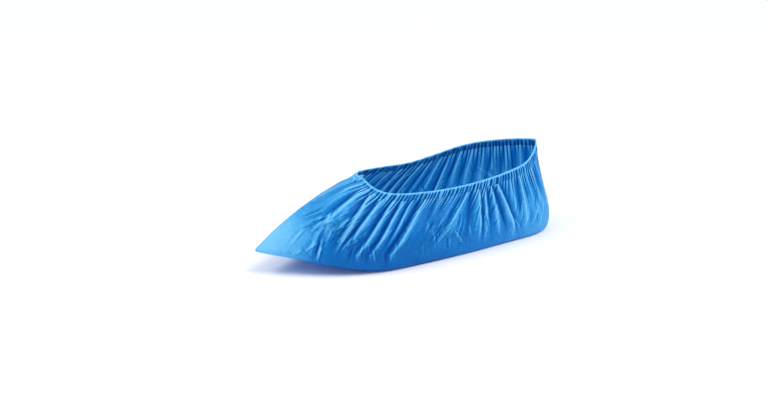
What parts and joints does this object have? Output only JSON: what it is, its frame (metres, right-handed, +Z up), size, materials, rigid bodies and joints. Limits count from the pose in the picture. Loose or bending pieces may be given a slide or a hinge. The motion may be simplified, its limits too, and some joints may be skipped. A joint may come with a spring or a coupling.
{
  "type": "shoe cover",
  "caption": "Disposable film shoe cover in its worn shape: a thin open-topped foot bag with a gathered elastic hem round the opening and a pointed, lifted toe.",
  "frame": {"origin": "centre of the bounding box in plan, on the floor plane that the sole stands on", "axes": "+Z up; -Y towards the pointed toe and +Y towards the heel; +X is the outer side of the left foot that the cover is worn on"},
  "size_m": [0.1114, 0.3355, 0.0951],
  "materials": {
    "blue_film": "soft satin embossed film",
    "hem_film": "soft satin film, gathered",
    "elastic": "matte woven elastic",
    "weld_film": "satin heat-welded film"
  },
  "bodies": {
    "root": {"film_bag": "blue_film", "gathered_hem": "hem_film", "elastic_band": "elastic", "toe_seam": "weld_film", "heel_seam": "weld_film"}
  },
  "joints": []
}
